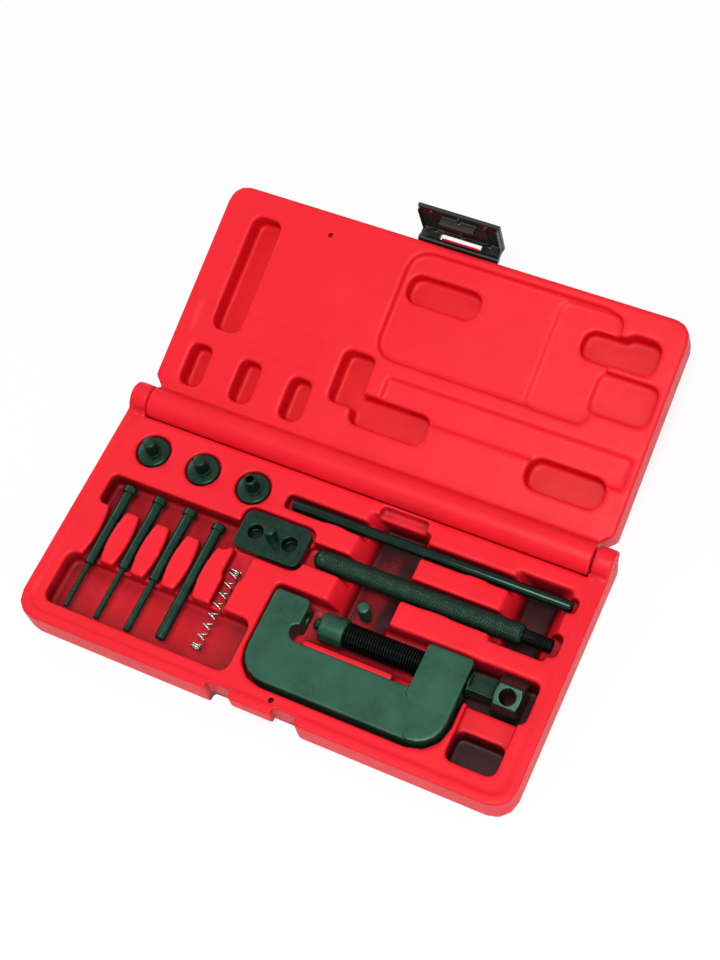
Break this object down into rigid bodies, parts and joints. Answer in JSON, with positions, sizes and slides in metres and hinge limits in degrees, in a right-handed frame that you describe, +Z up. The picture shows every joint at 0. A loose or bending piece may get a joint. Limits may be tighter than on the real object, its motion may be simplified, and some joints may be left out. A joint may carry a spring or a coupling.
{
  "type": "chain breaking and riveting tool kit",
  "caption": "Chain breaking and riveting kit in a red hinged case: C-frame press with screw, push pins, round and plate anvils, spring, tommy bar and knurled handle.",
  "frame": {"origin": "middle of the case base's underside, on the surface it stands on", "axes": "+X along the hinge to the right, +Y from the case's front to its hinge, +Z up"},
  "size_m": [0.28, 0.2784, 0.0774],
  "materials": {
    "red_polyethylene": "moulded, satin",
    "blackened_steel": "blackened and oiled",
    "phosphated_steel": "phosphated, satin",
    "bright_steel": "plain, bright",
    "black_polypropylene": "moulded, half gloss"
  },
  "bodies": {
    "base": {"case_base": "red_polyethylene", "hinge_pin_left": "bright_steel", "hinge_pin_right": "bright_steel"},
    "lid": {"case_lid": "red_polyethylene"},
    "latch": {"latch": "black_polypropylene"},
    "frame": {"press_frame": "phosphated_steel"},
    "carriage": {"pin_holder": "phosphated_steel", "holder_pin": "blackened_steel"},
    "screw": {"pressure_screw": "blackened_steel"},
    "tommy_bar": {"tommy_bar": "blackened_steel"},
    "handle": {"knurled_handle": "blackened_steel"},
    "pin_1": {"push_pin_1": "blackened_steel"},
    "pin_2": {"push_pin_2": "blackened_steel"},
    "pin_3": {"push_pin_3": "blackened_steel"},
    "pin_4": {"push_pin_4": "blackened_steel"},
    "spring": {"spring": "bright_steel"},
    "anvil_1": {"round_anvil_1": "blackened_steel"},
    "anvil_2": {"round_anvil_2": "blackened_steel"},
    "anvil_3": {"round_anvil_3": "blackened_steel"},
    "plate": {"plate_anvil": "blackened_steel", "plate_anvil_stud": "blackened_steel"},
    "spare": {"spare_pin": "phosphated_steel"}
  },
  "joints": [
    {"name": "lid_hinge", "type": "hinge", "parent": "base", "child": "lid", "pos_m": [0, 0.07415, 0.019], "axis": [-1, 0, 0], "range_deg": [-163.4, 0]},
    {"name": "latch_hinge", "type": "hinge", "parent": "lid", "child": "latch", "pos_m": [0, 0.20489, 0.05297], "axis": [-1, 0, 0], "range_deg": [-8, 40]},
    {"name": "frame_lift", "type": "slide", "parent": "base", "child": "frame", "axis": [0, 0, 1], "range_m": [0, 0.06]},
    {"name": "screw_feed", "type": "slide", "parent": "frame", "child": "carriage", "axis": [-1, 0, 0], "range_m": [-0.003, 0.005]},
    {"name": "screw_turn", "type": "hinge", "parent": "carriage", "child": "screw", "pos_m": [0.0145, -0.00915, 0.014], "axis": [-1, 0, 0], "range_deg": [-720.5, 1200.5]},
    {"name": "tommy_bar_lift", "type": "slide", "parent": "base", "child": "tommy_bar", "axis": [0, 0, 1], "range_m": [0, 0.04]},
    {"name": "handle_lift", "type": "slide", "parent": "base", "child": "handle", "axis": [0, 0, 1], "range_m": [0, 0.04]},
    {"name": "pin_1_lift", "type": "slide", "parent": "base", "child": "pin_1", "axis": [0, 0, 1], "range_m": [0, 0.03]},
    {"name": "pin_2_lift", "type": "slide", "parent": "base", "child": "pin_2", "axis": [0, 0, 1], "range_m": [0, 0.03]},
    {"name": "pin_3_lift", "type": "slide", "parent": "base", "child": "pin_3", "axis": [0, 0, 1], "range_m": [0, 0.03]},
    {"name": "pin_4_lift", "type": "slide", "parent": "base", "child": "pin_4", "axis": [0, 0, 1], "range_m": [0, 0.03]},
    {"name": "spring_lift", "type": "slide", "parent": "base", "child": "spring", "axis": [0, 0, 1], "range_m": [0, 0.03]},
    {"name": "anvil_1_lift", "type": "slide", "parent": "base", "child": "anvil_1", "axis": [0, 0, 1], "range_m": [0, 0.03]},
    {"name": "anvil_2_lift", "type": "slide", "parent": "base", "child": "anvil_2", "axis": [0, 0, 1], "range_m": [0, 0.03]},
    {"name": "anvil_3_lift", "type": "slide", "parent": "base", "child": "anvil_3", "axis": [0, 0, 1], "range_m": [0, 0.03]},
    {"name": "plate_lift", "type": "slide", "parent": "base", "child": "plate", "axis": [0, 0, 1], "range_m": [0, 0.03]},
    {"name": "spare_lift", "type": "slide", "parent": "base", "child": "spare", "axis": [0, 0, 1], "range_m": [0, 0.035]}
  ],
  "couplings": [
    {"joint": "screw_turn", "follows": "screw_feed", "rad_per_m": 4188.8}
  ]
}
